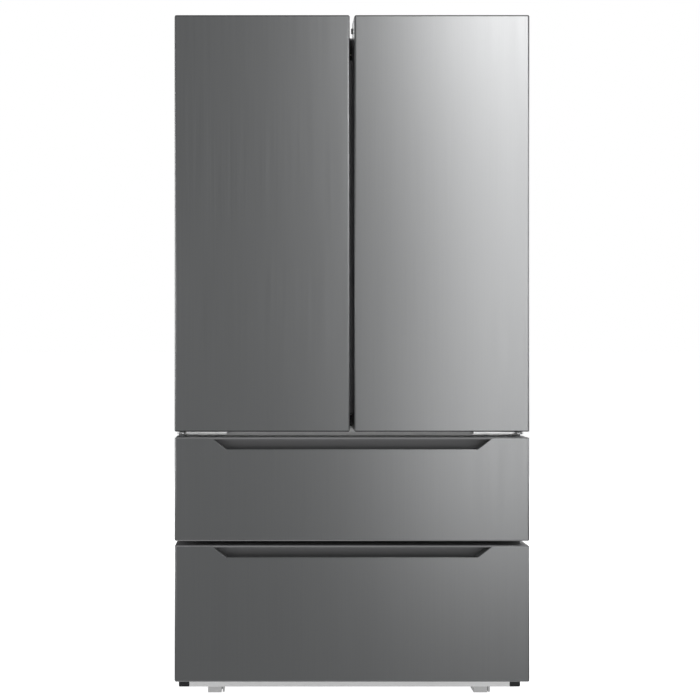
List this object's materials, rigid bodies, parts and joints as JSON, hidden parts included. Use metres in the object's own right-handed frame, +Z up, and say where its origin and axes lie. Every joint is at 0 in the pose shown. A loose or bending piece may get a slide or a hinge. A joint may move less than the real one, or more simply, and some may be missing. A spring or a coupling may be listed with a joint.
{
  "type": "french door refrigerator",
  "caption": "Free-standing french door refrigerator with side-hinged upper doors over pull-out freezer drawers with recessed pocket handles, in brushed stainless steel.",
  "frame": {"origin": "centre of the footprint on the floor, under the middle of the overall box", "axes": "+Z up, -Y out of the doors, +X to the right as seen from in front"},
  "size_m": [0.914, 0.747, 1.771],
  "materials": {
    "brushed_stainless": "brushed vertical satin",
    "case_paint": "fine textured satin paint",
    "galvanised_sheet": "satin zinc",
    "bracket_steel": "zinc plated",
    "foam": "rigid foam",
    "liner_white": "smooth moulded",
    "rail_grey": "satin paint",
    "light_grey_plastic": "fine grain",
    "pocket_plastic": "fine grain",
    "dark_plastic": "fine grain",
    "mullion_grey": "satin",
    "seal_rubber": "soft matte",
    "clear_plastic": "clear moulded plastic",
    "basket_plastic": "smooth moulded",
    "shelf_glass": "clear toughened",
    "frame_plastic": "satin moulded",
    "lamp_lens": "frosted lens",
    "aluminium": "mill finish",
    "black_steel": "gloss black paint",
    "fan_plastic": "fine grain",
    "motor_grey": "satin",
    "roller_plastic": "smooth hard"
  },
  "bodies": {
    "cabinet": {"outer_case": "case_paint", "back_panel": "galvanised_sheet", "base_pan": "galvanised_sheet", "cabinet_foam": "foam", "fridge_liner": "liner_white", "freezer_liner": "liner_white", "mid_rail": "rail_grey", "freezer_divider": "dark_plastic", "front_sill": "rail_grey", "corner_blocks": "dark_plastic", "top_hinges": "bracket_steel", "hinge_covers": "dark_plastic", "mid_hinges": "bracket_steel", "air_duct": "liner_white", "ceiling_lamp": "lamp_lens", "mullion_guide": "dark_plastic", "shelf_glass": "shelf_glass", "shelf_frames": "frame_plastic", "evaporator": "aluminium", "evaporator_cover": "liner_white", "fan_motors": "motor_grey", "compressor": "black_steel", "condenser": "black_steel", "drain_pan": "dark_plastic", "machine_cover": "galvanised_sheet", "power_inlet": "dark_plastic", "drawer_rails": "bracket_steel"},
    "left_door": {"left_door_skin": "brushed_stainless", "left_door_foam": "foam", "left_door_liner": "liner_white", "left_door_gasket": "seal_rubber", "left_door_caps": "dark_plastic", "left_door_bins": "clear_plastic"},
    "right_door": {"right_door_skin": "brushed_stainless", "right_door_foam": "foam", "right_door_liner": "liner_white", "right_door_gasket": "seal_rubber", "right_door_caps": "dark_plastic", "right_door_bins": "clear_plastic"},
    "mullion": {"mullion": "mullion_grey"},
    "upper_drawer": {"upper_drawer_skin": "brushed_stainless", "upper_drawer_panel": "liner_white", "upper_drawer_trim": "pocket_plastic", "upper_drawer_gasket": "seal_rubber", "upper_drawer_basket": "basket_plastic"},
    "upper_slides": {"upper_slides": "bracket_steel"},
    "lower_drawer": {"lower_drawer_skin": "brushed_stainless", "lower_drawer_panel": "liner_white", "lower_drawer_trim": "pocket_plastic", "lower_drawer_gasket": "seal_rubber", "lower_drawer_basket": "basket_plastic"},
    "lower_slides": {"lower_slides": "bracket_steel"},
    "crisper_left": {"crisper_left": "clear_plastic"},
    "crisper_right": {"crisper_right": "clear_plastic"},
    "evaporator_fan": {"evaporator_fan": "fan_plastic"},
    "condenser_fan": {"condenser_fan": "fan_plastic"},
    "roller_left": {"roller_left": "roller_plastic"},
    "roller_right": {"roller_right": "roller_plastic"},
    "foot_left": {"foot_left": "light_grey_plastic"},
    "foot_right": {"foot_right": "light_grey_plastic"}
  },
  "joints": [
    {"name": "left_door_hinge", "type": "hinge", "parent": "cabinet", "child": "left_door", "pos_m": [-0.442, -0.3255, 1.2], "axis": [0, 0, -1], "range_deg": [0, 120]},
    {"name": "right_door_hinge", "type": "hinge", "parent": "cabinet", "child": "right_door", "pos_m": [0.442, -0.3255, 1.2], "axis": [0, 0, 1], "range_deg": [0, 120]},
    {"name": "mullion_fold", "type": "hinge", "parent": "left_door", "child": "mullion", "pos_m": [-0.046, -0.29, 1.2], "axis": [0, 0, 1], "range_deg": [0, 90]},
    {"name": "upper_drawer_slide", "type": "slide", "parent": "cabinet", "child": "upper_drawer", "axis": [0, -1, 0], "range_m": [0, 0.43]},
    {"name": "upper_slide_members", "type": "slide", "parent": "cabinet", "child": "upper_slides", "axis": [0, -1, 0], "range_m": [0, 0.215]},
    {"name": "lower_drawer_slide", "type": "slide", "parent": "cabinet", "child": "lower_drawer", "axis": [0, -1, 0], "range_m": [0, 0.32]},
    {"name": "lower_slide_members", "type": "slide", "parent": "cabinet", "child": "lower_slides", "axis": [0, -1, 0], "range_m": [0, 0.16]},
    {"name": "crisper_left_slide", "type": "slide", "parent": "cabinet", "child": "crisper_left", "axis": [0, -1, 0], "range_m": [0, 0.07]},
    {"name": "crisper_right_slide", "type": "slide", "parent": "cabinet", "child": "crisper_right", "axis": [0, -1, 0], "range_m": [0, 0.07]},
    {"name": "evaporator_fan_spin", "type": "hinge", "parent": "cabinet", "child": "evaporator_fan", "pos_m": [0, 0.235, 0.565], "axis": [0, 1, 0], "continuous": true},
    {"name": "condenser_fan_spin", "type": "hinge", "parent": "cabinet", "child": "condenser_fan", "pos_m": [0.04, 0.251, 0.129], "axis": [1, 0, 0], "continuous": true},
    {"name": "roller_left_spin", "type": "hinge", "parent": "cabinet", "child": "roller_left", "pos_m": [-0.382, 0.311, 0.022], "axis": [1, 0, 0], "continuous": true},
    {"name": "roller_right_spin", "type": "hinge", "parent": "cabinet", "child": "roller_right", "pos_m": [0.382, 0.311, 0.022], "axis": [1, 0, 0], "continuous": true},
    {"name": "foot_left_level", "type": "slide", "parent": "cabinet", "child": "foot_left", "axis": [0, 0, 1], "range_m": [-0.015, 0]},
    {"name": "foot_right_level", "type": "slide", "parent": "cabinet", "child": "foot_right", "axis": [0, 0, 1], "range_m": [-0.015, 0]}
  ],
  "couplings": [
    {"joint": "upper_slide_members", "follows": "upper_drawer_slide", "ratio": 0.5},
    {"joint": "lower_slide_members", "follows": "lower_drawer_slide", "ratio": 0.5}
  ]
}
